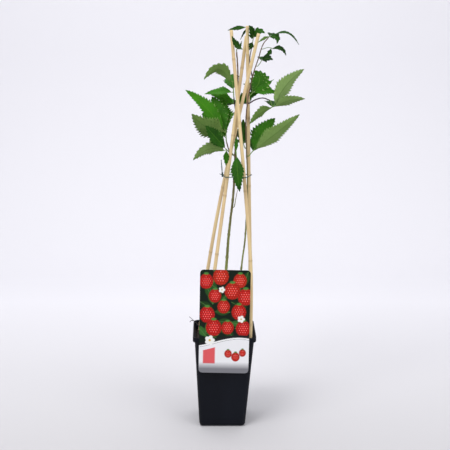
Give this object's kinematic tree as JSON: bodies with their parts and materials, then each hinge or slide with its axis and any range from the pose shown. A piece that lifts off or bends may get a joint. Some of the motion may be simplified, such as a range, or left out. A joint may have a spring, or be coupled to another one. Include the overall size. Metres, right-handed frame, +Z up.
{
  "type": "potted fruit bush",
  "caption": "Young loganberry in a square plastic pot: thin stems tied to bamboo canes, toothed compound leaves, and a picture label hooked over the rim.",
  "frame": {"origin": "centre of the pot's flat underside, on the pad it stands on", "axes": "+Z up along the plant, -Y toward the picture label, +X to the right of the label"},
  "size_m": [0.2199, 0.1502, 0.7588],
  "materials": {
    "pot_plastic": "dark blue-grey moulded plastic",
    "compost": "crumbly dark potting soil",
    "printed_card": "glossy printed card",
    "bamboo": "smooth pale bamboo",
    "coated_wire": "thin coated wire",
    "green_bark": "green to brown young bark",
    "purple_bark": "dark purple young bark",
    "dry_wood": "dry black-brown twig",
    "leaves": "toothed leaves, dark above and pale grey-green below"
  },
  "bodies": {
    "root": {"bough_left": "green_bark", "bough_left_upper": "purple_bark", "bough_right": "purple_bark", "bough_top": "purple_bark", "cane_back_left": "bamboo", "cane_back_right": "bamboo", "cane_front_left": "bamboo", "cane_front_right": "bamboo", "dry_twig": "dry_wood", "label_card": "printed_card", "leaves_back_left": "leaves", "leaves_back_lower": "leaves", "leaves_centre": "leaves", "leaves_left_lower": "leaves", "leaves_left_middle": "leaves", "leaves_left_upper": "leaves", "leaves_right_lower": "leaves", "leaves_right_middle": "leaves", "leaves_right_upper": "leaves", "leaves_top_centre": "leaves", "leaves_top_fork": "leaves", "leaves_top_left": "leaves", "leaves_top_right": "leaves", "leaves_top_side": "leaves", "pot": "pot_plastic", "soil": "compost", "stem_main": "green_bark", "stem_second": "green_bark", "tie_wire": "coated_wire"}
  },
  "joints": []
}
